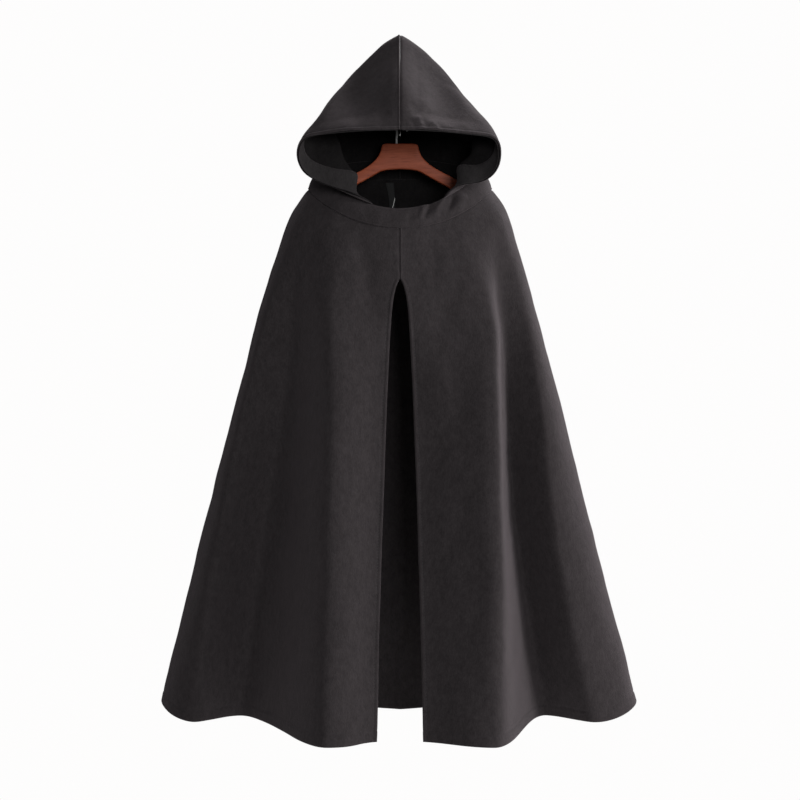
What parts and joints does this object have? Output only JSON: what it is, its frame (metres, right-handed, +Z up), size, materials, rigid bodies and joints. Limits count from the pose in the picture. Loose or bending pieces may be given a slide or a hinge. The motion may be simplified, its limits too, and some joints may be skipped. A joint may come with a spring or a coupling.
{
  "type": "hooded cape on a hanger",
  "caption": "Hooded cape in heavy dark coating cloth, with a neck band and a centre front slit, hanging open on a small wooden hanger with a metal hook.",
  "frame": {"origin": "the seat of the hanger's hook: the underside of the wire at the top of its bend, where it rests on a rail or nail", "axes": "+Z up, +X to the right as one looks at the cape's front, -Y out of the front"},
  "size_m": [0.7215, 0.3139, 1.0252],
  "materials": {
    "coating_cloth": "brushed wool-like coating, charcoal black, faint nap",
    "facing_cloth": "the same coating turned to the inside of the hood's edge",
    "label_satin": "plain black woven satin, bare",
    "stained_wood": "reddish-brown stain under satin varnish",
    "plated_steel": "bright nickel-plated wire"
  },
  "bodies": {
    "root": {"front_left": "coating_cloth", "front_right": "coating_cloth", "back": "coating_cloth", "neck_band": "coating_cloth", "hood_left": "coating_cloth", "hood_right": "coating_cloth", "hood_facing_left": "facing_cloth", "hood_facing_right": "facing_cloth", "neck_label": "label_satin", "hanger": "stained_wood", "hanger_hook": "plated_steel"}
  },
  "joints": []
}
